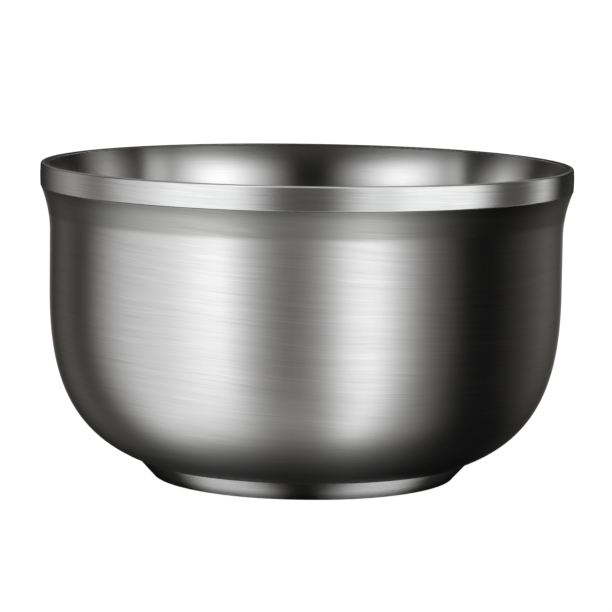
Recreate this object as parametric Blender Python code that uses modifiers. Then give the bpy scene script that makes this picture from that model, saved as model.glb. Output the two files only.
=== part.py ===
"""Double-walled steel bowl for working up shaving lather.

A drawn liner hangs inside a drawn outer shell, with still air between the two walls.
Both end behind a turned steel band at the rim: the liner is edge-welded to the band's top,
and the shell's joggled lip is brazed to the band's back. A pressed foot ring is welded
underneath, and a plug closes the hole that vented the air space during welding.
Everything is turned about +Z, and the bowl stands on z = 0.
"""

import math

import bpy
from mathutils import Vector

MM = 0.001

# Overall sizes
RIM_RADIUS = 50.0 * MM
BOWL_HEIGHT = 59.0 * MM

# Sheet and clearances
SHEET = 0.5 * MM
SEAT_GAP = 0.3 * MM
WELD_GAP = 0.1 * MM
EDGE_ROUND = 0.08 * MM

# Rim band: a strip round the lip with a slightly crowned face and a rounded top corner
BAND_HEIGHT = 4.4 * MM
BAND_THICKNESS = 0.8 * MM
BAND_CROWN = 0.07 * MM
BAND_CORNER = 0.35 * MM

# Bead along the top of the lip, between liner and band
RIM_WELD_HEIGHT = 0.35 * MM

# Outer shell, given by its outside face
NECK_FLARE = 1.7 * MM  # how far the neck's top stands out past the straight wall
NECK_HEIGHT = 8.3 * MM
NECK_STEP = 0.08 * MM  # how far the neck's top sits in from the band's lower edge
LIP_LAP = 2.0 * MM  # how far the shell's lip reaches up behind the band
STRAIGHT_WALL = 10.6 * MM
BELLY_UPPER_PULL = 14.1 * MM
BELLY_LOWER_PULL = 14.9 * MM
BELLY_SLOPE = math.radians(20.7)  # lean of the belly where it meets the foot
FLOOR_CLEARANCE = 1.6 * MM  # underside of the shell's floor above the table
VENT_RADIUS = 1.5 * MM

# Braze fillet on top of the shell's lip
BRAZE_HEIGHT = 0.8 * MM

# Foot ring: a leaning wall, a flat track that stands on the table and a raised flange
FOOT_HEIGHT = 3.7 * MM  # where the foot's wall would meet the shell
FOOT_LEAN = math.radians(42.4)
FOOT_TRACK_RADIUS = 28.3 * MM
FOOT_TRACK_WIDTH = 2.6 * MM
FOOT_FLANGE_WIDTH = 2.8 * MM
FOOT_STEP_RUN = 0.5 * MM
FOOT_SHEET = 0.6 * MM
FOOT_EDGE = 0.5 * MM
FOOT_WELD_WIDTH = 0.8 * MM

# Liner, given by its inside face
WALL_AIR_GAP = 1.2 * MM
FLOOR_AIR_GAP = 3.9 * MM
LIP_FLARE_DEPTH = 13.0 * MM
LINER_FLOOR_RADIUS = 23.0 * MM

# Vent plug
PLUG_HEAD_RADIUS = 2.8 * MM
PLUG_HEAD_HEIGHT = 0.6 * MM
PLUG_REACH = 0.5 * MM  # how far the shank stands past the shell's floor, inside

TURN_STEPS = 48
PLUG_STEPS = 24
SHARP_ANGLE = math.radians(35)

STEEL = (0.56, 0.55, 0.53)
BRIGHT_STEEL = (0.72, 0.71, 0.69)
BRAZE = (0.60, 0.54, 0.42)


# ---- Outlines: lists of (radius, height), in the X-Z plane


def bezier(start, pull_a, pull_b, end, count):
    """Points of a cubic curve after its start, up to and with its end."""
    points = []
    for i in range(1, count + 1):
        t = i / count
        s = 1 - t
        points.append(start * s**3 + pull_a * 3 * s * s * t + pull_b * 3 * s * t * t + end * t**3)
    return points


def round_corner(before, corner, after, radius, count):
    """Arc of the given radius in place of a corner between two straight legs."""
    leg_a = (before - corner).normalized()
    leg_b = (after - corner).normalized()
    half = leg_a.angle(leg_b) / 2
    setback = radius / math.tan(half)
    centre = corner + (leg_a + leg_b).normalized() * radius / math.sin(half)
    start = corner + leg_a * setback - centre
    end = corner + leg_b * setback - centre
    sweep = math.pi - 2 * half
    points = []
    for i in range(count + 1):
        t = i / count
        near = math.sin((1 - t) * sweep) / math.sin(sweep)
        far = math.sin(t * sweep) / math.sin(sweep)
        points.append(centre + start * near + end * far)
    return points


def crossing(point_a, way_a, point_b, way_b):
    """Where two lines in the outline's plane cross."""
    across = way_a.x * way_b.y - way_a.y * way_b.x
    apart = point_b - point_a
    return point_a + way_a * (apart.x * way_b.y - apart.y * way_b.x) / across


def band_inside():
    return RIM_RADIUS - BAND_THICKNESS


def band_bottom():
    return BOWL_HEIGHT - BAND_HEIGHT


def band_outline():
    """Closed section of the rim band, from its inner top edge down the outside."""
    edge = RIM_RADIUS - BAND_CROWN
    inner_top = Vector((band_inside(), BOWL_HEIGHT))
    outer_top = Vector((edge, BOWL_HEIGHT))
    outer_bottom = Vector((edge, band_bottom()))
    outline = [inner_top]
    outline += round_corner(inner_top, outer_top, outer_bottom, BAND_CORNER, 3)
    # A cubic whose two pulls stand out by 4/3 of the crown rises by the crown at its middle.
    third = (outline[-1] - outer_bottom) / 3
    swell = Vector((BAND_CROWN * 4 / 3, 0))
    outline += bezier(
        outline[-1],
        outline[-1] - third + swell,
        outer_bottom + third + swell,
        outer_bottom,
        4,
    )
    outline.append(Vector((band_inside(), band_bottom())))
    return outline


def liner_lip():
    """Top edge of the liner's inside face, under the weld bead."""
    radius = band_inside() - SEAT_GAP - SHEET
    return Vector((radius, BOWL_HEIGHT - RIM_WELD_HEIGHT - WELD_GAP))


def rim_weld_outline():
    """Closed section of the bead in the notch over the liner's edge."""
    outside = band_inside() - WELD_GAP
    inside = liner_lip().x
    bottom = BOWL_HEIGHT - RIM_WELD_HEIGHT
    return [
        Vector((inside + RIM_WELD_HEIGHT, BOWL_HEIGHT)),
        Vector((outside, BOWL_HEIGHT)),
        Vector((outside, bottom)),
        Vector((inside, bottom)),
    ]


def neck_top():
    """Outer edge of the shell's neck, just under the band."""
    return Vector((RIM_RADIUS - BAND_CROWN - NECK_STEP, band_bottom() - SEAT_GAP))


def wall_radius():
    return neck_top().x - NECK_FLARE


def shell_lip():
    """Top edge of the shell's outside face, behind the band."""
    return Vector((band_inside() - SEAT_GAP, neck_top().y + LIP_LAP))


def braze_outline():
    """Closed section of the fillet between the shell's lip and the band's back."""
    lip = shell_lip()
    outside = band_inside() - WELD_GAP
    bottom = lip.y + WELD_GAP
    return [
        Vector((outside, bottom + BRAZE_HEIGHT)),
        Vector((outside, bottom)),
        Vector((lip.x - SHEET, bottom)),
    ]


def belly_top():
    """Height where the shell's straight wall turns into the belly."""
    return neck_top().y - NECK_HEIGHT - STRAIGHT_WALL


def belly_way():
    """Direction of the belly where it meets the foot, pointing up and out."""
    return Vector((math.cos(BELLY_SLOPE), math.sin(BELLY_SLOPE)))


def foot_meeting():
    """Where the outside of the foot's wall would meet the belly."""
    return Vector((FOOT_TRACK_RADIUS + FOOT_HEIGHT * math.tan(FOOT_LEAN), FOOT_HEIGHT))


def belly(count):
    """The shell's outside face from the straight wall down to the foot."""
    top = Vector((wall_radius(), belly_top()))
    foot = foot_meeting()
    upper = top - Vector((0, BELLY_UPPER_PULL))
    lower = foot + belly_way() * BELLY_LOWER_PULL
    return [top] + bezier(top, upper, lower, foot, count)


def shell_outline():
    """Outside face of the outer shell, from its lip down to the vent hole."""
    neck = neck_top()
    lip = shell_lip()
    wall_top = Vector((wall_radius(), neck.y - NECK_HEIGHT))
    # The flare is a parabola: level with the wall below, and steepest at its top.
    flare = Vector((NECK_FLARE / 3, NECK_HEIGHT * 2 / 3))
    outline = [lip, Vector((lip.x, neck.y)), neck]
    outline += bezier(
        neck,
        wall_top + flare,
        wall_top + Vector((0, NECK_HEIGHT / 3)),
        wall_top,
        5,
    )
    outline += belly(9)
    floor_edge = crossing(
        outline[-1],
        belly_way(),
        Vector((0, FLOOR_CLEARANCE)),
        Vector((1, 0)),
    )
    outline.append(floor_edge)
    outline.append(Vector((VENT_RADIUS, FLOOR_CLEARANCE)))
    return outline


def liner_outline():
    """Inside face of the liner, from the middle of its floor up to its lip."""
    floor = FLOOR_CLEARANCE + SHEET + FLOOR_AIR_GAP + SHEET
    lip = liner_lip()
    liner_radius = wall_radius() - SHEET - WALL_AIR_GAP - SHEET
    flare_bottom = Vector((liner_radius, lip.y - LIP_FLARE_DEPTH))
    # The liner follows the shell's belly, further off the nearer it comes to the floor.
    face = belly(9)
    followed = []
    for i in range(1, len(face) - 1):
        along = (face[i + 1] - face[i - 1]).normalized()
        inward = Vector((along.y, -along.x))
        share = i / (len(face) - 1)
        gap = WALL_AIR_GAP + (FLOOR_AIR_GAP - WALL_AIR_GAP) * share
        followed.append(face[i] + inward * (2 * SHEET + gap))
    last = followed[-1]
    drop = last.y - floor
    turn = Vector((last.x - drop / math.tan(BELLY_SLOPE), floor))
    outline = [Vector((0, floor)), Vector((LINER_FLOOR_RADIUS, floor))]
    outline += bezier(outline[-1], turn, (turn + last) / 2, last, 3)
    outline += reversed(followed[:-1])
    outline.append(Vector((liner_radius, belly_top())))
    outline.append(flare_bottom)
    outline += bezier(
        flare_bottom,
        flare_bottom + Vector((0, LIP_FLARE_DEPTH / 3)),
        flare_bottom + Vector(((lip.x - liner_radius) / 3, LIP_FLARE_DEPTH * 2 / 3)),
        lip,
        4,
    )
    return outline


def flange_inside():
    """Inner edge of the foot ring's flange."""
    return FOOT_TRACK_RADIUS - FOOT_TRACK_WIDTH - FOOT_STEP_RUN - FOOT_FLANGE_WIDTH


def foot_outline():
    """Closed section of the foot ring. Its upper edge is trimmed to the belly's lean."""
    meeting = foot_meeting()
    heel = Vector((FOOT_TRACK_RADIUS, 0))
    wall_way = (meeting - heel).normalized()
    into_sheet = Vector((-wall_way.y, wall_way.x)) * FOOT_SHEET
    trim = meeting - Vector((-belly_way().y, belly_way().x)) * SEAT_GAP
    outer_top = crossing(heel, wall_way, trim, belly_way())
    inner_top = crossing(heel + into_sheet, wall_way, trim, belly_way())
    track_top = Vector((0, FOOT_SHEET))
    inner_heel = crossing(heel + into_sheet, wall_way, track_top, Vector((1, 0)))
    flange_top = FLOOR_CLEARANCE - SEAT_GAP
    flange_bottom = flange_top - FOOT_SHEET
    step_foot = Vector((FOOT_TRACK_RADIUS - FOOT_TRACK_WIDTH, 0))
    step_head = Vector((step_foot.x - FOOT_STEP_RUN, flange_bottom))
    step_way = (step_head - step_foot).normalized()
    across_step = Vector((step_way.y, -step_way.x)) * FOOT_SHEET
    outline = [outer_top]
    outline += round_corner(outer_top, heel, step_foot, FOOT_EDGE, 4)
    outline.append(step_foot)
    outline.append(step_head)
    outline.append(Vector((flange_inside(), flange_bottom)))
    outline.append(Vector((flange_inside(), flange_top)))
    outline.append(crossing(step_foot + across_step, step_way, Vector((0, flange_top)), Vector((1, 0))))
    outline.append(crossing(step_foot + across_step, step_way, track_top, Vector((1, 0))))
    outline.append(inner_heel)
    outline.append(inner_top)
    return outline


def foot_weld_outline():
    """Closed section of the fillet between the flange's edge and the shell's floor."""
    outside = flange_inside() - WELD_GAP
    top = FLOOR_CLEARANCE - WELD_GAP
    bottom = FLOOR_CLEARANCE - SEAT_GAP - FOOT_SHEET
    return [
        Vector((outside, top)),
        Vector((outside, bottom)),
        Vector((outside - FOOT_WELD_WIDTH, top)),
    ]


def plug_outline():
    """Half section of the vent plug, from the top of its shank down to its head."""
    shank = VENT_RADIUS - SEAT_GAP
    shank_top = FLOOR_CLEARANCE + SHEET + PLUG_REACH
    head_top = FLOOR_CLEARANCE - SEAT_GAP
    head_bottom = head_top - PLUG_HEAD_HEIGHT
    return [
        Vector((0, shank_top)),
        Vector((shank, shank_top)),
        Vector((shank, head_top)),
        Vector((PLUG_HEAD_RADIUS, head_top)),
        Vector((PLUG_HEAD_RADIUS, head_bottom)),
        Vector((0, head_bottom)),
    ]


# ---- Objects


def clear_scene():
    for obj in list(bpy.data.objects):
        bpy.data.objects.remove(obj)


def steel(name, color, roughness):
    material = bpy.data.materials.new(name)
    material.use_nodes = True
    shader = material.node_tree.nodes["Principled BSDF"]
    shader.inputs["Base Color"].default_value = (*color, 1)
    shader.inputs["Metallic"].default_value = 1
    shader.inputs["Roughness"].default_value = roughness
    return material


def turned(name, outline, material, closed=False, sheet=0, steps=TURN_STEPS):
    """A piece turned about +Z from its outline, with a wall thickness if it is one face."""
    count = len(outline)
    edges = [(i, i + 1) for i in range(count - 1)]
    if closed:
        edges.append((count - 1, 0))
    mesh = bpy.data.meshes.new(name)
    mesh.from_pydata([(p.x, 0, p.y) for p in outline], edges, [])
    mesh.materials.append(material)
    obj = bpy.data.objects.new(name, mesh)
    bpy.data.collections["shaving_bowl"].objects.link(obj)

    screw = obj.modifiers.new("turn", "SCREW")
    screw.axis = "Z"
    screw.angle = math.tau
    screw.steps = steps
    screw.render_steps = steps
    screw.use_merge_vertices = True
    screw.merge_threshold = 0.00001
    screw.use_smooth_shade = True
    if sheet:
        solidify = obj.modifiers.new("sheet", "SOLIDIFY")
        solidify.thickness = sheet
        solidify.offset = -1
        solidify.use_even_offset = True
        solidify.use_quality_normals = True
    bevel = obj.modifiers.new("edges", "BEVEL")
    bevel.width = EDGE_ROUND
    bevel.segments = 1
    bevel.limit_method = "ANGLE"
    bevel.angle_limit = SHARP_ANGLE
    bevel.harden_normals = True
    return obj


def main():
    clear_scene()
    collection = bpy.data.collections.new("shaving_bowl")
    bpy.context.scene.collection.children.link(collection)

    brushed = STEEL, 0.34
    turned("outer_shell", shell_outline(), steel("outer_shell", *brushed), sheet=SHEET)
    turned("inner_shell", liner_outline(), steel("inner_shell", STEEL, 0.30), sheet=SHEET)
    turned("rim_band", band_outline(), steel("rim_band", STEEL, 0.26), closed=True)
    turned("rim_weld", rim_weld_outline(), steel("rim_weld", BRIGHT_STEEL, 0.15), closed=True)
    turned("neck_braze", braze_outline(), steel("neck_braze", BRAZE, 0.40), closed=True)
    turned("foot_ring", foot_outline(), steel("foot_ring", *brushed), closed=True)
    turned("foot_weld", foot_weld_outline(), steel("foot_weld", STEEL, 0.45), closed=True)
    turned("vent_plug", plug_outline(), steel("vent_plug", BRIGHT_STEEL, 0.30), steps=PLUG_STEPS)


main()
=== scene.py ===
import math

import bpy
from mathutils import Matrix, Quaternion, Vector


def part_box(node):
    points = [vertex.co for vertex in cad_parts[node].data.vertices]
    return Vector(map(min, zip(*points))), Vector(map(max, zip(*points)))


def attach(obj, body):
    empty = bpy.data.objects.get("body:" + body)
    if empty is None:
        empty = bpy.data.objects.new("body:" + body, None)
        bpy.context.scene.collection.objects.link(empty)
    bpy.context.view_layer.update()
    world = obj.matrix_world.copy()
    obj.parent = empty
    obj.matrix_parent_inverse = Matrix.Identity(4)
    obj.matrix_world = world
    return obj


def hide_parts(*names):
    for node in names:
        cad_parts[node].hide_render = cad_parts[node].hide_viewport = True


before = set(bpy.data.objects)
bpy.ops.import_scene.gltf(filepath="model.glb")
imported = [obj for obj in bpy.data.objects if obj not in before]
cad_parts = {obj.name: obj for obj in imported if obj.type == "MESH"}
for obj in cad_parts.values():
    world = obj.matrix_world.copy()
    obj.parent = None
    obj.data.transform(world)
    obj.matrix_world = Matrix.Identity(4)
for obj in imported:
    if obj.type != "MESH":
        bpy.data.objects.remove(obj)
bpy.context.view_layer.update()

mm = 0.001
body = "root"


# Sections are half outlines as (radius, height) points, run anticlockwise so that faces point outwards


def point(radius, height):
    return Vector((radius, height))


def normalOf(way):
    # Outward side of a section that is run anticlockwise
    return Vector((way.y, -way.x)).normalized()


def bezier(start, pullA, pullB, end, count):
    # Points of a cubic curve after its start, up to and with its end
    points = []
    for i in range(1, count + 1):
        t = i / count
        s = 1 - t
        points.append(start * s**3 + pullA * 3 * s * s * t + pullB * 3 * s * t * t + end * t**3)
    return points


def straight(start, end, count):
    # Evenly spaced points after the start, up to and with the end
    return [start.lerp(end, i / count) for i in range(1, count + 1)]


def offset(points, distance):
    # The same run of points, moved to their right by a distance
    moved = []
    for i, here in enumerate(points):
        before = points[max(i - 1, 0)]
        after = points[min(i + 1, len(points) - 1)]
        moved.append(here + normalOf(after - before) * distance)
    return moved


nearlyStraight = math.radians(88)  # half the angle of a corner too open to be rounded


def rounded(corners, radii, steps):
    # A closed outline through the corners, each turned into an arc of its own radius
    outline = []
    count = len(corners)
    for i, corner in enumerate(corners):
        before = corners[i - 1]
        after = corners[(i + 1) % count]
        legA = (before - corner).normalized()
        legB = (after - corner).normalized()
        half = legA.angle(legB) / 2
        radius = radii[i]
        if radius == 0 or half > nearlyStraight:
            outline.append(corner)
            continue
        setback = radius / math.tan(half)
        centre = corner + (legA + legB).normalized() * radius / math.sin(half)
        start = corner + legA * setback - centre
        end = corner + legB * setback - centre
        sweep = math.pi - 2 * half
        for j in range(steps + 1):
            t = j / steps
            near = math.sin((1 - t) * sweep) / math.sin(sweep)
            far = math.sin(t * sweep) / math.sin(sweep)
            outline.append(centre + start * near + end * far)
    return outline


def addNode(tree, kind, inputs=None, **settings):
    # A node with its settings; each input is linked if it is a socket, and set if it is a value
    node = tree.nodes.new(kind)
    for name, value in settings.items():
        setattr(node, name, value)
    for key, value in (inputs or {}).items():
        if isinstance(value, bpy.types.NodeSocket):
            tree.links.new(value, node.inputs[key])
        else:
            node.inputs[key].default_value = value
    return node


def maths(tree, operation, a, b=0.0, c=0.0):
    return addNode(tree, "ShaderNodeMath", {0: a, 1: b, 2: c}, operation=operation).outputs[0]


def smooth(tree, value, low, high, toLow=0.0, toHigh=1.0):
    # Eases from toLow to toHigh as the value passes from low to high
    inputs = {"Value": value, "From Min": low, "From Max": high, "To Min": toLow, "To Max": toHigh}
    return addNode(tree, "ShaderNodeMapRange", inputs, interpolation_type="SMOOTHSTEP").outputs[0]


def newGroup(name, kind, inputs, outputs):
    # A node group with its sockets; inputs are (name, socket kind, starting value)
    tree = bpy.data.node_groups.new(name, kind)
    for label, socketKind, value in inputs:
        socket = tree.interface.new_socket(label, in_out="INPUT", socket_type=socketKind)
        if value is not None:
            socket.default_value = value
    for label, socketKind in outputs:
        tree.interface.new_socket(label, in_out="OUTPUT", socket_type=socketKind)
    groupIn = tree.nodes.new("NodeGroupInput")
    groupOut = tree.nodes.new("NodeGroupOutput")
    return tree, groupIn.outputs, groupOut.inputs


mergeReach = 0.002 * mm  # vertices that meet at the seam and on the axis become one
allMarked = 0.99  # a face's marks are averaged, so only a fully marked face passes this


def buildTurnTree():
    # Spins a section round +Z, and keeps the turn and the way along the section as a map
    tree, given, made = newGroup(
        "turnPiece",
        "GeometryNodeTree",
        [
            ("Section", "NodeSocketGeometry", None),
            ("Segments", "NodeSocketInt", 256),
            ("Ripple Count", "NodeSocketFloat", 0.0),
            ("Ripple Height", "NodeSocketFloat", 0.0),
            ("Ripple Bow", "NodeSocketFloat", 0.0),
            ("Face Metal", "NodeSocketMaterial", None),
            ("Edge Metal", "NodeSocketMaterial", None),
        ],
        [("Turned", "NodeSocketGeometry")],
    )

    def node(kind, inputs=None, **settings):
        return addNode(tree, kind, inputs, **settings)

    def calc(operation, a, b=0.0):
        return node("ShaderNodeMath", {0: a, 1: b}, operation=operation).outputs[0]

    # One column of vertices for each segment, and one row for each point of the section
    rows = node("GeometryNodeAttributeDomainSize", {"Geometry": given["Section"]}).outputs["Point Count"]
    columns = calc("ADD", given["Segments"], 1.0)
    grid = node("GeometryNodeMeshGrid", {"Vertices X": columns, "Vertices Y": rows})
    index = node("GeometryNodeInputIndex").outputs[0]
    row = calc("MODULO", index, rows)
    column = calc("FLOOR", calc("DIVIDE", calc("ADD", index, 0.5), rows))
    turn = calc("MULTIPLY", calc("DIVIDE", column, given["Segments"]), math.tau)

    def fromSection(value, dataType):
        inputs = {"Geometry": given["Section"], "Value": value, "Index": row}
        return node("GeometryNodeSampleIndex", inputs, data_type=dataType, domain="POINT").outputs[0]

    def named(name):
        return node("GeometryNodeInputNamedAttribute", {"Name": name}, data_type="FLOAT").outputs[0]

    place = fromSection(node("GeometryNodeInputPosition").outputs[0], "FLOAT_VECTOR")
    split = node("ShaderNodeSeparateXYZ", {0: place}).outputs
    spun = node(
        "ShaderNodeCombineXYZ",
        {
            "X": calc("MULTIPLY", split["X"], calc("COSINE", turn)),
            "Y": calc("MULTIPLY", split["X"], calc("SINE", turn)),
            "Z": split["Z"],
        },
    ).outputs[0]

    # The values are captured before the vertices move, and the map is stored on the corners, where the
    # faces beside the seam can differ
    mapInputs = {"X": calc("DIVIDE", turn, math.tau), "Y": fromSection(named("way"), "FLOAT")}
    turnMap = node("ShaderNodeCombineXYZ", mapInputs).outputs[0]
    capture = node("GeometryNodeCaptureAttribute", {"Geometry": grid.outputs["Mesh"]})
    capture.capture_items.new("VECTOR", "Map")
    capture.capture_items.new("FLOAT", "Edge")
    capture.capture_items.new("FLOAT", "Ripple")
    capture.capture_items.new("VECTOR", "Spun")
    tree.links.new(turnMap, capture.inputs["Map"])
    tree.links.new(fromSection(named("edge"), "FLOAT"), capture.inputs["Edge"])
    tree.links.new(fromSection(named("ripple"), "FLOAT"), capture.inputs["Ripple"])
    tree.links.new(spun, capture.inputs["Spun"])
    mapped = node(
        "GeometryNodeStoreNamedAttribute",
        {"Geometry": capture.outputs["Geometry"], "Name": "turnMap", "Value": capture.outputs["Map"]},
        data_type="FLOAT2",
        domain="CORNER",
    )
    movedInputs = {"Geometry": mapped.outputs[0], "Position": capture.outputs["Spun"]}
    moved = node("GeometryNodeSetPosition", movedInputs).outputs[0]
    merged = node("GeometryNodeMergeByDistance", {"Geometry": moved, "Distance": mergeReach}).outputs[0]

    # Weld ripples: bowed crests that follow each other round the ring
    after = node("ShaderNodeSeparateXYZ", {0: node("GeometryNodeInputPosition").outputs[0]}).outputs
    angle = calc("ARCTAN2", after["Y"], after["X"])
    strength = capture.outputs["Ripple"]
    bow = calc("MULTIPLY", calc("MULTIPLY", strength, strength), given["Ripple Bow"])
    phase = calc("ADD", calc("MULTIPLY", angle, given["Ripple Count"]), bow)
    crest = calc("ABSOLUTE", calc("SINE", phase))
    lift = calc("MULTIPLY", calc("MULTIPLY", crest, strength), given["Ripple Height"])
    outward = node("GeometryNodeInputNormal").outputs[0]
    push = node("ShaderNodeVectorMath", {0: outward, "Scale": lift}, operation="SCALE").outputs[0]
    rippled = node("GeometryNodeSetPosition", {"Geometry": merged, "Offset": push}).outputs[0]

    # The edge metal goes on the faces whose corners are all marked as edge
    faceInputs = {"Geometry": rippled, "Material": given["Face Metal"]}
    faced = node("GeometryNodeSetMaterial", faceInputs).outputs[0]
    marked = {0: capture.outputs["Edge"], 1: allMarked}
    onEdge = node("FunctionNodeCompare", marked, operation="GREATER_THAN", data_type="FLOAT").outputs[0]
    edgeInputs = {"Geometry": faced, "Selection": onEdge, "Material": given["Edge Metal"]}
    edgeMetal = node("GeometryNodeSetMaterial", edgeInputs)
    real = node("GeometryNodeRealizeInstances", {"Geometry": edgeMetal.outputs[0]})
    tree.links.new(real.outputs[0], made["Turned"])
    return tree


turnTree = buildTurnTree()


def setInput(modifier, label, value):
    # Sets one input of a piece's turning tree by its label
    for item in modifier.node_group.interface.items_tree:
        if item.item_type == "SOCKET" and item.in_out == "INPUT" and item.name == label:
            modifier[item.identifier] = value


def turned(
    name,
    section,
    nodes,
    faceMetal,
    edgeMetal=None,
    closed=True,
    segments=288,
    sharp=40,
    onEdge=None,
    rippled=None,
    rippleCount=0.0,
    rippleHeight=0.0,
    rippleBow=0.0,
):
    # A piece turned from its section. onEdge says which points are edge metal, and rippled how much
    # of the weld ripples a point has. Edges sharper than the sharp angle, in degrees, stay crisp.
    points = section + [section[0].copy()] if closed else section
    drawn = bpy.data.meshes.new(name + "Section")
    drawn.from_pydata([(p.x, 0, p.y) for p in points], [(i, i + 1) for i in range(len(points) - 1)], [])
    ways = [0.0]
    for here, there in zip(points, points[1:]):
        ways.append(ways[-1] + (there - here).length)
    marks = {
        "way": ways,
        "edge": [float(onEdge(p)) if onEdge else 0.0 for p in points],
        "ripple": [rippled(p) if rippled else 0.0 for p in points],
    }
    for label, values in marks.items():
        drawn.attributes.new(label, "FLOAT", "POINT").data.foreach_set("value", values)
    maker = bpy.data.objects.new(name + "Maker", drawn)
    bpy.context.scene.collection.objects.link(maker)
    modifier = maker.modifiers.new("turn", "NODES")
    modifier.node_group = turnTree
    setInput(modifier, "Segments", segments)
    setInput(modifier, "Ripple Count", rippleCount)
    setInput(modifier, "Ripple Height", rippleHeight)
    setInput(modifier, "Ripple Bow", rippleBow)
    setInput(modifier, "Face Metal", faceMetal)
    setInput(modifier, "Edge Metal", edgeMetal or faceMetal)
    graph = bpy.context.evaluated_depsgraph_get()
    mesh = bpy.data.meshes.new_from_object(maker.evaluated_get(graph))
    bpy.data.objects.remove(maker)
    mesh.name = name
    mesh.shade_smooth()
    mesh.set_sharp_from_angle(angle=math.radians(sharp))
    piece = bpy.data.objects.new(name, mesh)
    bpy.context.scene.collection.objects.link(piece)
    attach(piece, body)
    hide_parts(*nodes)
    print(name, len(mesh.vertices), "vertices")
    return piece


brushPattern = {
    "wanderRound": 1.3,  # how quickly the marks' drift changes round the bowl
    "wanderAlong": 40.0,  # and for each metre along the section
    "roughness": 0.6,
    "darkLine": (0.60, 0.72),  # parts of the noise that count as a dark or a light line
    "lightLine": (0.40, 0.28),
}


def buildBrushGroup():
    # Brush marks that run round +Z: fine grain, wider bands and single lines, all without a seam
    tree, given, made = newGroup(
        "brushMarks",
        "ShaderNodeTree",
        [
            ("Way", "NodeSocketFloat", 0.0),
            ("Reach", "NodeSocketFloat", 2.5),
            ("Grain Size", "NodeSocketFloat", 0.00025),
            ("Drift", "NodeSocketFloat", 0.002),
            ("Slant", "NodeSocketFloat", 0.0),
            ("Seed", "NodeSocketFloat", 0.0),
        ],
        [("Grain", "NodeSocketFloat"), ("Bands", "NodeSocketFloat"), ("Lines", "NodeSocketFloat")],
    )
    pattern = brushPattern
    place = addNode(tree, "ShaderNodeTexCoord").outputs["Object"]
    sideways = addNode(tree, "ShaderNodeSeparateXYZ", {0: place}).outputs["X"]
    flat = addNode(tree, "ShaderNodeVectorMath", {0: place, 1: (1, 1, 0)}, operation="MULTIPLY").outputs[0]
    heading = addNode(tree, "ShaderNodeVectorMath", {0: flat}, operation="NORMALIZE").outputs[0]
    split = addNode(tree, "ShaderNodeSeparateXYZ", {0: heading}).outputs

    # The way along the section, slanted and with a slow drift, says which mark a point is on
    inputs = {
        "X": maths(tree, "MULTIPLY_ADD", split["X"], pattern["wanderRound"], given["Seed"]),
        "Y": maths(tree, "MULTIPLY", split["Y"], pattern["wanderRound"]),
        "Z": maths(tree, "MULTIPLY", given["Way"], pattern["wanderAlong"]),
    }
    where = addNode(tree, "ShaderNodeCombineXYZ", inputs).outputs[0]
    wander = addNode(tree, "ShaderNodeTexNoise", {"Vector": where, "Scale": 1.0, "Detail": 1.0}).outputs[0]
    slanted = maths(tree, "MULTIPLY_ADD", sideways, given["Slant"], given["Way"])
    wandered = maths(tree, "MULTIPLY_ADD", wander, given["Drift"], slanted)
    grains = maths(tree, "DIVIDE", wandered, given["Grain Size"])

    def noise(wayScale, reachScale, shift, detail):
        # Noise on a cylinder: slow round the bowl, fast along its section
        reach = maths(tree, "MULTIPLY", given["Reach"], reachScale)
        inputs = {
            "X": maths(tree, "MULTIPLY_ADD", split["X"], reach, given["Seed"]),
            "Y": maths(tree, "MULTIPLY_ADD", split["Y"], reach, shift),
            "Z": maths(tree, "MULTIPLY", grains, wayScale),
        }
        where = addNode(tree, "ShaderNodeCombineXYZ", inputs).outputs[0]
        inputs = {"Vector": where, "Scale": 1.0, "Detail": detail, "Roughness": pattern["roughness"]}
        return addNode(tree, "ShaderNodeTexNoise", inputs).outputs[0]

    grain = noise(wayScale=1.0, reachScale=1.0, shift=0.0, detail=3.0)
    bands = noise(wayScale=0.2, reachScale=0.7, shift=7.3, detail=3.0)
    lines = noise(wayScale=0.7, reachScale=1.6, shift=15.1, detail=1.0)
    darkLines = smooth(tree, lines, *pattern["darkLine"])
    lightLines = smooth(tree, lines, *pattern["lightLine"])
    tree.links.new(grain, made["Grain"])
    tree.links.new(bands, made["Bands"])
    tree.links.new(maths(tree, "SUBTRACT", darkLines, lightLines), made["Lines"])
    return tree


brushGroup = buildBrushGroup()


steel = {
    "index": 2.5,
    "brushTurn": 0.25,  # the highlights stretch across the marks, not along them
    "lineDepth": 0.6,  # of the single lines in the relief, against the grain
}


def newMetal(name):
    material = bpy.data.materials.new(name)
    material.use_nodes = True
    shader = material.node_tree.nodes["Principled BSDF"]
    shader.inputs["Metallic"].default_value = 1.0
    shader.inputs["IOR"].default_value = steel["index"]
    return material, material.node_tree, shader


def lookColour(tree, look):
    colour = addNode(tree, "ShaderNodeRGB").outputs[0]
    colour.default_value = (*look["colour"], 1)
    return colour


def varied(tree, noise, spread, middle):
    # Turns a noise between 0 and 1 into a value that varies by the spread around its middle
    return maths(tree, "MULTIPLY_ADD", noise, spread, middle - spread / 2)


def joinMetal(tree, shader, colour, shade, rough, height, relief):
    # The parts that every metal ends with: shaded colour, roughness and a fine relief
    shaded = addNode(tree, "ShaderNodeVectorMath", {0: colour, "Scale": shade}, operation="SCALE")
    bump = addNode(tree, "ShaderNodeBump", {"Height": height, "Strength": 1.0, "Distance": relief})
    tree.links.new(shaded.outputs[0], shader.inputs["Base Color"])
    tree.links.new(rough, shader.inputs["Roughness"])
    tree.links.new(bump.outputs[0], shader.inputs["Normal"])


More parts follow.
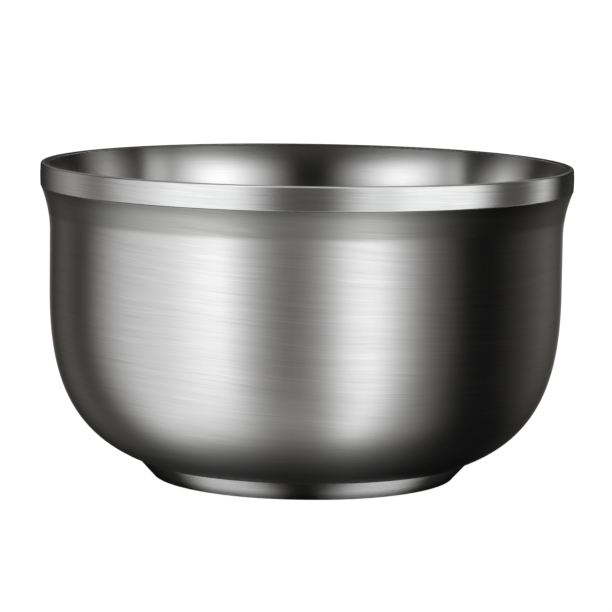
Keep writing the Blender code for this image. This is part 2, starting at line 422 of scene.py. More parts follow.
def brushedMetal(name, look, paintedShade=None):
    # Steel brushed round its axis. Its last argument may paint shade into the colour by height, and return
    # added roughness.
    material, tree, shader = newMetal(name)
    shader.inputs["Anisotropic"].default_value = look["stretch"]
    shader.inputs["Anisotropic Rotation"].default_value = steel["brushTurn"]
    tangent = addNode(tree, "ShaderNodeTangent", direction_type="RADIAL", axis="Z")
    tree.links.new(tangent.outputs[0], shader.inputs["Tangent"])
    turnMap = addNode(tree, "ShaderNodeUVMap", uv_map="turnMap").outputs[0]
    way = addNode(tree, "ShaderNodeSeparateXYZ", {0: turnMap}).outputs["Y"]
    marks = addNode(tree, "ShaderNodeGroup", node_tree=brushGroup)
    tree.links.new(way, marks.inputs["Way"])
    for label in ("Reach", "Grain Size", "Drift", "Slant", "Seed"):
        marks.inputs[label].default_value = look[label]
    grain = marks.outputs["Grain"]
    lines = marks.outputs["Lines"]

    grainShade = varied(tree, grain, look["grainShade"], 1)
    bandShade = varied(tree, marks.outputs["Bands"], look["bandShade"], 1)
    lineShade = maths(tree, "MULTIPLY_ADD", lines, -look["lineShade"], 1.0)
    shade = maths(tree, "MULTIPLY", maths(tree, "MULTIPLY", grainShade, bandShade), lineShade)
    colour = lookColour(tree, look)
    rough = varied(tree, grain, look["grainRough"], look["rough"])
    if paintedShade:
        colour, addedRough = paintedShade(tree, colour)
        rough = maths(tree, "ADD", rough, addedRough)
    height = maths(tree, "MULTIPLY_ADD", lines, -steel["lineDepth"], grain)
    joinMetal(tree, shader, colour, shade, rough, height, look["relief"])
    return material


def plainMetal(name, look):
    # Ground or welded metal without a brushing direction, with a light mottle
    material, tree, shader = newMetal(name)
    place = addNode(tree, "ShaderNodeTexCoord").outputs["Object"]
    inputs = {"Vector": place, "Scale": 1 / look["mottleSize"], "Detail": 4.0}
    mottle = addNode(tree, "ShaderNodeTexNoise", inputs).outputs[0]
    shade = varied(tree, mottle, look["mottleShade"], 1)
    rough = varied(tree, mottle, look["mottleRough"], look["rough"])
    joinMetal(tree, shader, lookColour(tree, look), shade, rough, mottle, look["relief"])
    return material


def heightOf(tree):
    place = addNode(tree, "ShaderNodeTexCoord").outputs["Object"]
    return addNode(tree, "ShaderNodeSeparateXYZ", {0: place}).outputs["Z"]


def shadedWhere(tree, mask, colour, shade):
    # The colour, multiplied by the shade as far as the mask goes
    mix = addNode(tree, "ShaderNodeMix", data_type="RGBA", blend_type="MULTIPLY")
    tree.links.new(mask, mix.inputs["Factor"])
    tree.links.new(colour, mix.inputs["A"])
    mix.inputs["B"].default_value = (*shade, 1)
    return mix.outputs["Result"]


# Sizes that the pieces share, read from the frame

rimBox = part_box("rim_band")
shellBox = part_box("outer_shell")

rimRadius = rimBox[1].x
rimTop = rimBox[1].z
bandBottom = rimBox[0].z
seam = 0.04 * mm  # hairline left between pieces that touch

shellSize = {
    "neckInset": 0.15 * mm,  # neck's top edge, inside the band's widest point
    "neckFlare": 1.7 * mm,
    "neckHeight": 8.3 * mm,
    "neckRound": 0.12 * mm,
    "straightWall": 10.6 * mm,
    "upperPull": 14.1 * mm,
    "lowerPull": 14.9 * mm,
    "bellySlope": math.radians(20.7),
    "sheet": 0.5 * mm,
    "floorBend": 2.5 * mm,  # reach of the soft bend between floor and belly
    "lipRise": 2.0 * mm,  # from the neck's top to the top of the whole shell
    "lipLap": 1.75 * mm,
    "lipCorner": 0.08 * mm,
    "lipRound": 0.12 * mm,
    "lipHollow": 0.3 * mm,
    "lipClear": 0.9 * mm,  # the inside of the neck ends this far below the lip's
    "ventRadius": 1.5 * mm,
    "footHeight": 3.7 * mm,
    "footRadius": 31.68 * mm,
}

bandSize = {
    "thickness": 0.8 * mm,
    "crown": 0.07 * mm,
    "topRound": 0.35 * mm,
    "topFall": 0.11 * mm,  # the top slopes outwards from the weld by this much
    "bottomRound": 0.12 * mm,
    "backTopRound": 0.05 * mm,
    "backBottomRound": 0.06 * mm,
    "backFlat": 1.0 * mm,  # the back is plain from this far inside its two ends
    "tuck": 0.01 * mm,  # the crown starts this far past the rounded corners
    "groundTop": 0.21 * mm,  # depth of the ground edge along the top, and along the bottom
    "groundBottom": 0.126 * mm,
    "groundBack": 0.2 * mm,  # the bottom's ground edge leaves this much at the back
}

bandInside = rimRadius - bandSize["thickness"]
neckTop = point(rimRadius - shellSize["neckInset"], bandBottom - seam)
wallRadius = neckTop.x - shellSize["neckFlare"]
wallTop = point(wallRadius, shellBox[1].z - shellSize["lipRise"] - shellSize["neckHeight"])
bellyTop = wallTop - point(0, shellSize["straightWall"])
footMeeting = point(shellSize["footRadius"], shellSize["footHeight"])
bellyWay = point(math.cos(shellSize["bellySlope"]), math.sin(shellSize["bellySlope"]))
shellFloor = shellBox[0].z


def bellyFace(count):
    # The shell's outside from the foot up to the straight wall
    lower = footMeeting + bellyWay * shellSize["lowerPull"]
    upper = bellyTop - point(0, shellSize["upperPull"])
    return [footMeeting] + bezier(footMeeting, lower, upper, bellyTop, count)


shellLook = {
    "colour": (0.617, 0.617, 0.617),
    "rough": 0.29,
    "stretch": 0.78,
    "Reach": 2.2,
    "Grain Size": 0.22 * mm,
    "Drift": 2.5 * mm,
    "Slant": 0.05,  # the marks climb across the bowl, as left by a tilted polishing wheel
    "Seed": 3.0,
    "grainShade": 0.25,
    "bandShade": 0.17,
    "lineShade": 0.09,
    "grainRough": 0.04,
    "relief": 0.0006 * mm,
}

neckLook = {
    "breakHeight": 49.5 * mm,  # middle of the step from the rougher, shade-painted neck to the bright wall
    "breakSoftness": 0.6 * mm,
    # painted shade: the neck's colour below the break, where it is also rougher
    "shade": (0.70, 0.70, 0.69),
    # painted shadow under the band: the neck's colour darkens from topHeight - topReach up to topHeight
    "topHeight": 54.6 * mm,
    "topReach": 2.6 * mm,
    "underBandShadow": (0.66, 0.66, 0.65),
    "extraRough": 0.08,
    "creaseHeight": 10.5 * mm,  # painted shade darkens the belly from here down to the foot
    "creaseShade": (0.40, 0.40, 0.395),
}


def paintedShellShade(tree, colour):
    # The neck is rougher than the wall and darkened with painted shade, a painted shadow darkens it under
    # the band, and painted shade darkens the belly towards the foot
    look = neckLook
    height = heightOf(tree)
    middle = look["breakHeight"]
    soft = look["breakSoftness"]
    roughShadedNeck = smooth(tree, height, middle - soft, middle + soft)
    top = smooth(tree, height, look["topHeight"] - look["topReach"], look["topHeight"])
    crease = smooth(tree, height, shellSize["footHeight"], look["creaseHeight"], 1.0, 0.0)
    # painted shade on the rougher neck
    colour = shadedWhere(tree, roughShadedNeck, colour, look["shade"])
    # painted shadow under the band
    colour = shadedWhere(tree, top, colour, look["underBandShadow"])
    # painted shade on the belly towards the foot
    colour = shadedWhere(tree, crease, colour, look["creaseShade"])
    return colour, maths(tree, "MULTIPLY", roughShadedNeck, look["extraRough"])


shellMetal = brushedMetal("shellSteel", shellLook, paintedShellShade)


def shellSection():
    size = shellSize
    face = [point(size["ventRadius"], shellFloor)]
    run = (footMeeting.y - shellFloor) / math.tan(size["bellySlope"])
    turn = point(footMeeting.x - run, shellFloor)
    floorEnd = turn - point(size["floorBend"], 0)
    face += straight(face[-1], floorEnd, count=12)
    face += bezier(floorEnd, turn, turn, turn + bellyWay * size["floorBend"], count=8)
    face += straight(face[-1], footMeeting, count=3)[:-1]
    face += bellyFace(count=64)
    face += straight(bellyTop, wallTop, count=8)
    rise = neckTop.y - wallTop.y
    pullA = wallTop + point(0, rise / 3)
    pullB = wallTop + point(size["neckFlare"] / 3, rise * 2 / 3)
    face += bezier(wallTop, pullA, pullB, neckTop, count=22)
    # The lip steps in behind the band
    lipFoot = point(bandInside - seam, neckTop.y)
    lipTop = lipFoot + point(0, size["lipLap"])
    innerLip = lipTop - point(size["sheet"], 0)
    innerFoot = point(innerLip.x, neckTop.y - size["sheet"])
    inner = [p for p in offset(face, -size["sheet"]) if p.y < innerFoot.y - size["lipClear"]]
    corners = [face[-2], neckTop, lipFoot, lipTop, innerLip, innerFoot, inner[-1]]
    lipRound = size["lipRound"]
    radii = [0, size["neckRound"], size["lipCorner"], lipRound, lipRound, size["lipHollow"], 0]
    return face[:-2] + rounded(corners, radii, steps=5) + list(reversed(inner[:-1]))


outerShell = turned("outerShell", shellSection(), ["outer_shell"], shellMetal)


bandLook = {
    "colour": (0.638, 0.64, 0.643),
    "rough": 0.25,
    "stretch": 0.8,
    "Reach": 3.0,
    "Grain Size": 0.20 * mm,
    "Drift": 1 * mm,
    "Slant": 0.02,
    "Seed": 11.0,
    "grainShade": 0.20,
    "bandShade": 0.16,
    "lineShade": 0.08,
    "grainRough": 0.04,
    "relief": 0.0005 * mm,
}

edgeLook = {
    "colour": (0.74, 0.74, 0.735),
    "rough": 0.24,
    "mottleSize": 0.8 * mm,
    "mottleShade": 0.10,
    "mottleRough": 0.04,
    "relief": 0.0005 * mm,
}

bandMetal = brushedMetal("bandSteel", bandLook)
edgeMetal = plainMetal("edgeSteel", edgeLook)


def bandSection():
    size = bandSize
    edge = rimRadius - size["crown"]
    bottom = point(edge, bandBottom)
    top = point(edge, rimTop - size["topFall"])
    swell = point(size["crown"] * 4 / 3, 0)  # a cubic curve rises to three quarters of its pulls
    low = bottom + point(0, size["bottomRound"])
    high = top - point(0, size["topRound"])
    third = (high - low) / 3
    crown = bezier(low, low + third + swell, high - third + swell, high, count=14)
    tuck = point(0, size["tuck"])
    flatTop = point(bandInside, rimTop - size["backFlat"])
    flatBottom = point(bandInside, bandBottom + size["backFlat"])
    corners = [flatTop, point(bandInside, bandBottom), bottom, low + tuck]
    lower = rounded(corners, [0, size["backBottomRound"], size["bottomRound"], 0], steps=5)[1:-1]
    corners = [high - tuck, top, point(bandInside, rimTop), flatTop]
    upper = rounded(corners, [0, size["topRound"], size["backTopRound"], 0], steps=8)[1:-1]
    return lower + crown[:-1] + upper + straight(flatTop, flatBottom, count=4)


def onBandEdge(p):
    # The top and the lower corner are ground, the rest is brushed
    size = bandSize
    low = p.y < bandBottom + size["groundBottom"] and p.x > bandInside + size["groundBack"]
    return low or p.y > rimTop - size["groundTop"]


rimBand = turned("rimBand", bandSection(), ["rim_band"], bandMetal, edgeMetal, onEdge=onBandEdge)


linerSize = {
    "sheet": 0.5 * mm,
    "wallAirGap": 1.2 * mm,
    "floorAirGap": 3.9 * mm,
    "lipFlareDepth": 13.0 * mm,
    "floorRadius": 23 * mm,
    "lipGap": 0.3 * mm,  # between the liner's outside and the band
    "lipClear": 0.1 * mm,  # the outside ends this far below the lip's flat
    "weldHeight": 0.35 * mm,
}

linerLook = {
    "colour": (0.698, 0.70, 0.697),
    "rough": 0.21,
    "stretch": 0.6,
    "Reach": 2.6,
    "Grain Size": 0.24 * mm,
    "Drift": 2 * mm,
    "Slant": 0.0,
    "Seed": 23.0,
    "grainShade": 0.10,
    "bandShade": 0.07,
    "lineShade": 0.04,
    "grainRough": 0.04,
    "relief": 0.0005 * mm,
}

linerMetal = brushedMetal("linerSteel", linerLook)
linerLip = point(
    bandInside - linerSize["lipGap"] - linerSize["sheet"],
    rimTop - linerSize["weldHeight"] - seam,
)


def linerFace():
    # The inside, from the middle of the floor up to the lip. It follows the shell's belly.
    size = linerSize
    floor = shellFloor + shellSize["sheet"] + size["floorAirGap"] + size["sheet"]
    radius = wallRadius - shellSize["sheet"] - size["wallAirGap"] - size["sheet"]
    belly = bellyFace(count=72)
    last = len(belly) - 1
    leave = last // 9  # nearer to the foot, the liner bends into its own flat floor
    followed = []
    for i in range(leave, last):
        gap = size["wallAirGap"] + (size["floorAirGap"] - size["wallAirGap"]) * (1 - i / last)
        outward = normalOf(belly[i + 1] - belly[i - 1])
        followed.append(belly[i] - outward * (shellSize["sheet"] + gap + size["sheet"]))
    first = followed[0]
    turn = point(first.x - (first.y - floor) / math.tan(shellSize["bellySlope"]), floor)
    flat = point(size["floorRadius"], floor)
    face = [point(0, floor)] + straight(point(0, floor), flat, count=24)
    face += bezier(flat, turn, (turn + first) / 2, first, count=14)
    face += followed[1:]
    top = point(radius, bellyTop.y)
    flareFoot = point(radius, linerLip.y - size["lipFlareDepth"])
    face += straight(face[-1], top, count=2)
    face += straight(top, flareFoot, count=14)
    rise = point(0, size["lipFlareDepth"] / 3)
    spread = point((linerLip.x - radius) / 3, size["lipFlareDepth"] * 2 / 3)
    face += bezier(flareFoot, flareFoot + rise, flareFoot + spread, linerLip, count=20)
    return face


def linerSection():
    face = linerFace()
    outer = offset(face, linerSize["sheet"])
    outer[0] = face[0] - point(0, linerSize["sheet"])
    # The outside runs straight up to the lip where the flare would pass the band
    limit = bandInside - linerSize["lipGap"]
    end = linerLip.y - linerSize["lipClear"]
    outer = [point(min(p.x, limit), p.y) for p in outer if p.y < end]
    return outer + [point(limit, linerLip.y)] + list(reversed(face))


liner = turned("liner", linerSection(), ["inner_shell"], linerMetal, closed=False)


# Bead along the top of the rim, ground flush and polished
rimWeldLook = {
    # painted shade: the colour is darker than the band's and liner's, so the rim's top looks shaded
    "colour": (0.42, 0.42, 0.41),
    "rough": 0.26,
    "mottleSize": 1.5 * mm,
    "mottleShade": 0.14,
    "mottleRough": 0.06,
    "relief": 0.001 * mm,
}

rimWeldMetal = plainMetal("polishedWeld", rimWeldLook)

rimWeldSize = {
    "sunk": 0.01 * mm,  # below the band's back edge
    "bottomRound": 0.02 * mm,
    "outerRound": 0.04 * mm,
    "innerRound": 0.06 * mm,
}


def rimWeldSection():
    size = rimWeldSize
    low = rimTop - linerSize["weldHeight"]
    outside = bandInside - seam
    corners = [
        point(linerLip.x, low),
        point(outside, low),
        point(outside, rimTop - size["sunk"]),
        point(linerLip.x, rimTop - bandSize["topFall"]),
    ]
    radii = [size["bottomRound"], size["bottomRound"], size["outerRound"], size["innerRound"]]
    return rounded(corners, radii, steps=7)


rimWeld = turned("rimWeld", rimWeldSection(), ["rim_weld"], rimWeldMetal)


# Braze fillet behind the band
brazeLook = {
    "colour": (0.62, 0.55, 0.40),
    "rough": 0.40,
    "mottleSize": 1.2 * mm,
    "mottleShade": 0.30,
    "mottleRough": 0.15,
    "relief": 0.004 * mm,
}

brazeSize = {"height": 0.8 * mm, "width": 0.54 * mm, "sag": 0.22 * mm}


def brazeSection():
    corner = point(bandInside - seam, neckTop.y + shellSize["lipLap"] + seam)
    top = corner + point(0, brazeSize["height"])
    inner = corner - point(brazeSize["width"], 0)
    sag = (corner - (top + inner) / 2).normalized() * brazeSize["sag"]
    hollow = bezier(top, top.lerp(inner, 1 / 3) + sag, top.lerp(inner, 2 / 3) + sag, inner, count=8)
    return [corner, top] + hollow


neckBraze = turned("neckBraze", brazeSection(), ["neck_braze"], plainMetal("brazeMetal", brazeLook))


footSize = {
    "trackRadius": 28.3 * mm,  # outer edge of the flat track that stands on the table
    "trackWidth": 2.6 * mm,
    "flangeWidth": 2.8 * mm,
    "stepRun": 0.5 * mm,
    "sheet": 0.6 * mm,
    "edgeRound": 0.5 * mm,
    "topRound": 0.03 * mm,
    "bendRound": 0.25 * mm,
    "smallRound": 0.1 * mm,
    "groundTop": 0.16 * mm,  # depth of the ground edge under the belly
}

footLook = {
    "colour": (0.617, 0.62, 0.62),
    "rough": 0.22,
    "stretch": 0.75,
    "Reach": 2.4,
    "Grain Size": 0.20 * mm,
    "Drift": 1 * mm,
    "Slant": 0.03,
    "Seed": 31.0,
    "grainShade": 0.24,
    "bandShade": 0.18,
    "lineShade": 0.10,
    "grainRough": 0.04,
    "relief": 0.0005 * mm,
    "heelLow": 0.2 * mm,  # painted shade darkens the foot's lowest part, fading out up to heelHeight
    "heelHeight": 2.0 * mm,
    "heelShade": (0.33, 0.33, 0.325),
}


def heelPaintedShade(tree, colour):
    # Painted shade on the foot's lowest part, where it meets the floor
    low = smooth(tree, heightOf(tree), footLook["heelLow"], footLook["heelHeight"], 1.0, 0.0)
    return shadedWhere(tree, low, colour, footLook["heelShade"]), 0.0


footMetal = brushedMetal("footSteel", footLook, heelPaintedShade)

flangeStart = footSize["trackRadius"] - footSize["trackWidth"] - footSize["stepRun"]
flangeEnd = flangeStart - footSize["flangeWidth"]


def crossing(pointA, wayA, pointB, wayB):
    # Where two lines in the section's plane cross
    across = wayA.x * wayB.y - wayA.y * wayB.x
    apart = pointB - pointA
    return pointA + wayA * (apart.x * wayB.y - apart.y * wayB.x) / across


def footSection():
    size = footSize
    heel = point(size["trackRadius"], 0)
    wallWay = (footMeeting - heel).normalized()
    inward = point(-wallWay.y, wallWay.x) * size["sheet"]
    trim = footMeeting + normalOf(bellyWay) * seam
    outerTop = crossing(heel, wallWay, trim, bellyWay)
    innerTop = crossing(heel + inward, wallWay, trim, bellyWay)
    level = point(1, 0)
    innerHeel = crossing(heel + inward, wallWay, point(0, size["sheet"]), level)
    flangeTop = shellFloor - seam
    flangeBottom = flangeTop - size["sheet"]
    stepFoot = heel - point(size["trackWidth"], 0)
    stepHead = point(stepFoot.x - size["stepRun"], flangeBottom)
    stepWay = (stepHead - stepFoot).normalized()
    stepUp = point(stepWay.y, -stepWay.x) * size["sheet"]
    corners = [
        point(flangeEnd, flangeTop),
        point(flangeEnd, flangeBottom),
        stepHead,
        stepFoot,
        heel,
        outerTop,
        innerTop,
        innerHeel,
        crossing(stepFoot + stepUp, stepWay, point(0, size["sheet"]), level),
        crossing(stepFoot + stepUp, stepWay, point(0, flangeTop), level),
    ]
    small = size["smallRound"]
    bend = size["bendRound"]
    radii = [small, small, bend, bend, size["edgeRound"], size["topRound"], small, small, small, small]
    return rounded(corners, radii, steps=7)


def onFootEdge(p):
    return p.y > footMeeting.y - footSize["groundTop"]


footRing = turned("footRing", footSection(), ["foot_ring"], footMetal, edgeMetal, onEdge=onFootEdge)


# Fillet weld between the shell's floor and the foot's flange
footWeldLook = {
    "colour": (0.58, 0.56, 0.52),
    "rough": 0.36,
    "mottleSize": 2.0 * mm,
    "mottleShade": 0.35,
    "mottleRough": 0.15,
    "relief": 0.002 * mm,
}

footWeldSize = {
    "width": 0.8 * mm,
    "bulge": 0.14 * mm,
    "rippleCount": 118.0,
    "rippleHeight": 0.07 * mm,
    "rippleBow": 1.1,
}


def footWeldSection():
    size = footWeldSize
    corner = point(flangeEnd - seam, shellFloor - seam)
    inner = corner - point(size["width"], 0)
    bottom = corner - point(0, footSize["sheet"])
    bulge = normalOf(bottom - inner) * size["bulge"]
    pullA = inner.lerp(bottom, 1 / 3) + bulge
    pullB = inner.lerp(bottom, 2 / 3) + bulge
    bead = bezier(inner, pullA, pullB, bottom, count=12)
    return [corner, inner] + bead


def footWeldCrown(p):
    # 0 at the bead's two edges and 1 along its middle
    share = (flangeEnd - seam - p.x) / footWeldSize["width"]
    return max(0.0, 4 * share * (1 - share))


footWeld = turned(
    "footWeld",
    footWeldSection(),
    ["foot_weld"],
    plainMetal("weldMetal", footWeldLook),
    segments=1180,
    sharp=60,
    rippled=footWeldCrown,
    rippleCount=footWeldSize["rippleCount"],
    rippleHeight=footWeldSize["rippleHeight"],
    rippleBow=footWeldSize["rippleBow"],
)


plugSize = {
    "headRadius": 2.8 * mm,
    "headHeight": 0.6 * mm,
    "dome": 0.12 * mm,
    "domeInset": 0.1 * mm,
    "rimRound": 0.12 * mm,
    "topRound": 0.1 * mm,
    "shank": 1.4 * mm,
    "reach": 1.0 * mm,
}

plugLook = {
    "colour": (0.68, 0.675, 0.66),
    "rough": 0.30,
    "mottleSize": 0.9 * mm,
    "mottleShade": 0.12,
    "mottleRough": 0.08,
    "relief": 0.001 * mm,
}


def plugSection():
    size = plugSize
    top = shellFloor - seam
    low = top - size["headHeight"]
    rim = point(size["headRadius"], low)
    middle = point(0, low - size["dome"])
    third = (rim - middle) / 3
    domeEnd = rim - point(size["domeInset"], 0)
    face = [middle] + bezier(middle, middle + point(third.x, 0), rim - third, domeEnd, count=12)
    corners = [face[-1], rim, point(rim.x, top), point(size["shank"], top)]
    side = rounded(corners, [0, size["rimRound"], size["topRound"], 0], steps=5)[1:]
    shankTop = top + size["reach"]
    return face + side + [point(size["shank"], shankTop), point(0, shankTop)]


plugMetal = plainMetal("plugSteel", plugLook)
ventPlug = turned("ventPlug", plugSection(), ["vent_plug"], plugMetal, closed=False, segments=96)


# The stage: camera, soft studio light and floor

viewPoint = {
    "elevation": math.radians(7.26),
    "distance": 0.628,
    "height": 30 * mm,  # the point that the elevation and distance are measured from
    "aim": 31.99 * mm,
    "side": 0.12 * mm,  # aimed a little to the right of the axis
    "lens": 195.70,
    "film": 36,
    "nearest": 0.01,
    "farthest": 50,
    "roll": math.radians(0.815),
}


def makeCamera():
    data = bpy.data.cameras.new("camera")
    data.lens = viewPoint["lens"]
    data.sensor_width = viewPoint["film"]
    data.clip_start = viewPoint["nearest"]
    data.clip_end = viewPoint["farthest"]
    camera = bpy.data.objects.new("camera", data)
    bpy.context.scene.collection.objects.link(camera)
    out = viewPoint["distance"]
    rise = viewPoint["elevation"]
    camera.location = (0, -out * math.cos(rise), viewPoint["height"] + out * math.sin(rise))
    gaze = Vector((viewPoint["side"], 0, viewPoint["aim"])) - camera.location
    camera.rotation_mode = "QUATERNION"
    roll = Quaternion((0, 0, 1), viewPoint["roll"])
    camera.rotation_quaternion = gaze.to_track_quat("-Z", "Y") @ roll
    bpy.context.scene.camera = camera


white = (1, 1, 1, 1)

studio = {
    "paper": 1.0,  # strength of the white seen behind the bowl
    "floorRadius": 6,
    "floorColour": (0.8, 0.8, 0.8, 1),
    "dimTone": (1.04, 1.0, 0.925, 1),  # colour of the studio's dim parts; the bright panels are white
    "dimBelow": 0.03,
    "whiteAbove": 0.6,
    "ambient": 0.006,
    "nadirLow": math.radians(-95),  # the ambient light fades out towards straight below
    "nadirHigh": math.radians(-60),
}

# Soft panels round the bowl, seen only in its metal. Each has its middle, reach and softness round the
# bowl, its low end, high end and softness up it, and its power. The angles are in degrees: round the
# bowl 0 is the front and + its right, and up it 0 is level and + above.
skyPanels = {
    "rear": (180, 40, 20, 40, 75, 12, 0.3),
    "top": (0, 190, 5, 66, 100, 14, 0.25),
}

shellPanels = {
    "leftKey": (-35.8, 2, 29.5, -32.5, 66.9, 25, 1.84),
    "leftWide": (-66.3, 31.3, 20, -59.6, 59.2, 17.7, 0.869),
    "rightKey": (18.4, 2.72, 24.2, -29.4, 61.3, 4.11, 1.09),
    "rightWide": (31.3, 11.3, 16.6, -63.1, 60.6, 2.2, 1.2),
    "rightStrip": (132, 6.64, 40, -17.2, 63.3, 15.9, 0.235),
    "leftStrip": (-134, 6.83, 25.2, -37.2, 60.2, 16.2, 0.16),
    "fill": (-3.14, 68.1, 9.49, -78.1, 70, 15.9, 0.139),
    "low": (-17.5, 91, 19, -50.3, -44.8, 18.7, 0.746),
    "back": (180, 12, 14, -10, 50, 8, 0.9),
}

rimPanels = {
    "left": (-43.4, 22.7, 12, -85, 80, 15, 0.48),
    "leftWide": (-55.5, 34.6, 12.3, -85, 80, 15, 0.76),
    "right": (27.3, 8.9, 12.3, -85, 80, 15, 1.06),
    "rightWide": (59.2, 21.4, 9.5, -85, 80, 15, 1.25),
    "rightFar": (119, 4.6, 12.3, -60, 30, 15, 1.08),
    "leftFar": (-117, 13.3, 23.8, -60, 30, 15, 0.49),
    "leftEdge": (-152, 6.2, 38.8, -60, 5, 10, 0.04),
    "fill": (16, 94, 7.5, -80, 50, 15, 0.077),
    "top": (0, 60, 35, 40, 100, 20, 0.35),
    "rightEdge": (155, 6, 20, -60, 2, 8, 0.06),
    "behind": (180, 30, 14, 18, 60, 4, 0.30),
    "below": (0, 50, 20, -75, -35, 10, 0.10),
    "back": (180, 8, 12, -45, -18, 8, 0.8),
}

linerPanels = {
    "left": (-47.7, 20.4, 19.8, 11.8, 29.3, 2, 1.68),
    "right": (44.5, 19.9, 20.8, 6.8, 29.4, 2, 1.72),
    "rightFar": (111, 2, 24.6, 5, 23.4, 6.5, 0.92),
    "leftFar": (-109, 2, 24.9, 5.5, 17.2, 10.4, 2.4),
    "leftMid": (-79.2, 3.5, 3, 0, 28.3, 2, 0.48),
    "rightMid": (80.5, 6.2, 3, 0, 27.8, 2, 0.59),
    "high": (5.5, 170, 5, 34, 50, 3.6, 0.05),
    "fillLeft": (-160, 20, 25, -10, 60, 10, 0.05),
    "fillRight": (160, 20, 25, -10, 60, 10, 0.02),
}

footPanels = {
    "left": (-108, 32, 14, -78, -48, 9, 0.80),
    "right": (108, 30, 14, -78, -48, 9, 0.84),
    "fill": (0, 180, 1, -88, -30, 9, 0.015),
}

underPanels = {
    "left": (-120, 45, 25, -75, -10, 12, 0.6),
    "right": (100, 45, 25, -75, -10, 12, 0.6),
}


def buildPanelGroup():
    # One soft-edged panel, given by its angles
    labels = ("Azimuth", "Elevation", "Middle", "Reach", "Edge", "Low", "High", "Lift", "Power")
    inputs = [(label, "NodeSocketFloat", 0.0) for label in labels]
    tree, given, made = newGroup("softPanel", "ShaderNodeTree", inputs, [("Light", "NodeSocketFloat")])
    away = maths(tree, "SUBTRACT", given["Azimuth"], given["Middle"])
    away = maths(tree, "ABSOLUTE", maths(tree, "WRAP", away, math.pi, -math.pi))
    inside = maths(tree, "SUBTRACT", given["Reach"], given["Edge"])
    outside = maths(tree, "ADD", given["Reach"], given["Edge"])
    across = maths(tree, "SUBTRACT", 1.0, smooth(tree, away, inside, outside))
    lowA = maths(tree, "SUBTRACT", given["Low"], given["Lift"])
    lowB = maths(tree, "ADD", given["Low"], given["Lift"])
    highA = maths(tree, "SUBTRACT", given["High"], given["Lift"])
    highB = maths(tree, "ADD", given["High"], given["Lift"])
    above = smooth(tree, given["Elevation"], lowA, lowB)
    below = maths(tree, "SUBTRACT", 1.0, smooth(tree, given["Elevation"], highA, highB))
    light = maths(tree, "MULTIPLY", maths(tree, "MULTIPLY", across, above), below)
    tree.links.new(maths(tree, "MULTIPLY", light, given["Power"]), made["Light"])
    return tree


panelGroup = buildPanelGroup()


def sumPanels(tree, way, panels, total):
    # Adds up the light of all panels in one direction
    split = addNode(tree, "ShaderNodeSeparateXYZ", {0: way}).outputs
    azimuth = maths(tree, "ARCTAN2", split["X"], maths(tree, "MULTIPLY", split["Y"], -1.0))
    elevation = maths(tree, "ARCSINE", split["Z"])
    for label, numbers in panels.items():
        lit = addNode(tree, "ShaderNodeGroup", node_tree=panelGroup, label=label)
        tree.links.new(azimuth, lit.inputs["Azimuth"])
        tree.links.new(elevation, lit.inputs["Elevation"])
        for key, angle in zip(("Middle", "Reach", "Edge", "Low", "High", "Lift"), numbers):
            lit.inputs[key].default_value = math.radians(angle)
        lit.inputs["Power"].default_value = numbers[-1]
        total = maths(tree, "ADD", lit.outputs[0], total)
    return total, elevation


def makeWorld():
    world = bpy.data.worlds.new("studio")
    bpy.context.scene.world = world
    world.use_nodes = True
    tree = world.node_tree
    tree.nodes.clear()
    way = addNode(tree, "ShaderNodeTexCoord").outputs["Generated"]
    total, elevation = sumPanels(tree, way, skyPanels, studio["ambient"])
    total = maths(tree, "MULTIPLY", total, smooth(tree, elevation, studio["nadirLow"], studio["nadirHigh"]))
    glow = addNode(tree, "ShaderNodeCombineXYZ", {"X": total, "Y": total, "Z": total}).outputs[0]
    seen = addNode(tree, "ShaderNodeBackground", {"Color": white, "Strength": studio["paper"]})
    lighting = addNode(tree, "ShaderNodeBackground", {"Color": glow, "Strength": 1.0})
    byCamera = addNode(tree, "ShaderNodeLightPath").outputs["Is Camera Ray"]
    mix = addNode(tree, "ShaderNodeMixShader", {0: byCamera, 1: lighting.outputs[0], 2: seen.outputs[0]})
    out = addNode(tree, "ShaderNodeOutputWorld")
    tree.links.new(mix.outputs[0], out.inputs["Surface"])


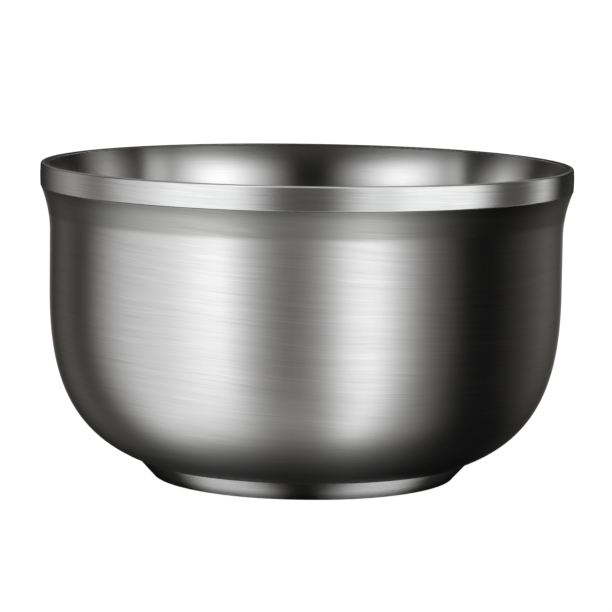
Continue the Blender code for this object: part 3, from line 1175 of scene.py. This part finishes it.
def makeTent(name, panels, radius, pieces):
    # A clear tent round the bowl that carries soft panels, and lights only the pieces it is given
    bpy.ops.mesh.primitive_uv_sphere_add(segments=32, ring_count=16, radius=radius)
    tent = bpy.context.object
    tent.name = name
    for ray in ("camera", "diffuse", "transmission", "volume_scatter", "shadow"):
        setattr(tent, "visible_" + ray, False)
    material = bpy.data.materials.new(name)
    material.use_nodes = True
    tree = material.node_tree
    tree.nodes.clear()
    place = addNode(tree, "ShaderNodeTexCoord").outputs["Object"]
    way = addNode(tree, "ShaderNodeVectorMath", {0: place}, operation="NORMALIZE").outputs[0]
    total, _ = sumPanels(tree, way, panels, 0.0)
    bright = smooth(tree, total, studio["dimBelow"], studio["whiteAbove"])
    tone = addNode(tree, "ShaderNodeMix", data_type="RGBA")
    tree.links.new(bright, tone.inputs["Factor"])
    tone.inputs["A"].default_value = studio["dimTone"]
    tone.inputs["B"].default_value = white
    glow = addNode(tree, "ShaderNodeEmission", {"Color": tone.outputs["Result"], "Strength": total})
    clear = addNode(tree, "ShaderNodeBsdfTransparent")
    both = addNode(tree, "ShaderNodeAddShader", {0: glow.outputs[0], 1: clear.outputs[0]})
    out = addNode(tree, "ShaderNodeOutputMaterial")
    tree.links.new(both.outputs[0], out.inputs["Surface"])
    tent.data.materials.append(material)
    lit = bpy.data.collections.new(name + "Lit")
    for piece in pieces:
        lit.objects.link(piece)
    tent.light_linking.receiver_collection = lit


def makeFloor():
    # White paper, clear from below so that it never hides the foot
    bpy.ops.mesh.primitive_circle_add(vertices=96, radius=studio["floorRadius"], fill_type="NGON")
    floor = bpy.context.object
    floor.name = "floor"
    floor.visible_glossy = False
    floor.visible_shadow = False
    material = bpy.data.materials.new("paper")
    material.use_nodes = True
    tree = material.node_tree
    tree.nodes.clear()
    matte = addNode(tree, "ShaderNodeBsdfDiffuse", {"Color": studio["floorColour"]})
    glow = addNode(tree, "ShaderNodeEmission", {"Color": white, "Strength": studio["paper"]})
    paper = addNode(tree, "ShaderNodeAddShader", {0: matte.outputs[0], 1: glow.outputs[0]})
    clear = addNode(tree, "ShaderNodeBsdfTransparent")
    behind = addNode(tree, "ShaderNodeNewGeometry").outputs["Backfacing"]
    mix = addNode(tree, "ShaderNodeMixShader", {0: behind, 1: paper.outputs[0], 2: clear.outputs[0]})
    out = addNode(tree, "ShaderNodeOutputMaterial")
    tree.links.new(mix.outputs[0], out.inputs["Surface"])
    floor.data.materials.append(material)


makeCamera()
makeWorld()
makeTent("shellTent", shellPanels, 1.0, [outerShell])
makeTent("rimTent", rimPanels, 1.1, [rimBand])
makeTent("linerTent", linerPanels, 1.2, [liner, rimWeld])
makeTent("footTent", footPanels, 1.3, [footRing])
makeTent("underTent", underPanels, 1.4, [footWeld, ventPlug])
makeFloor()
bpy.context.scene.view_settings.view_transform = "Standard"
print("stage ready")
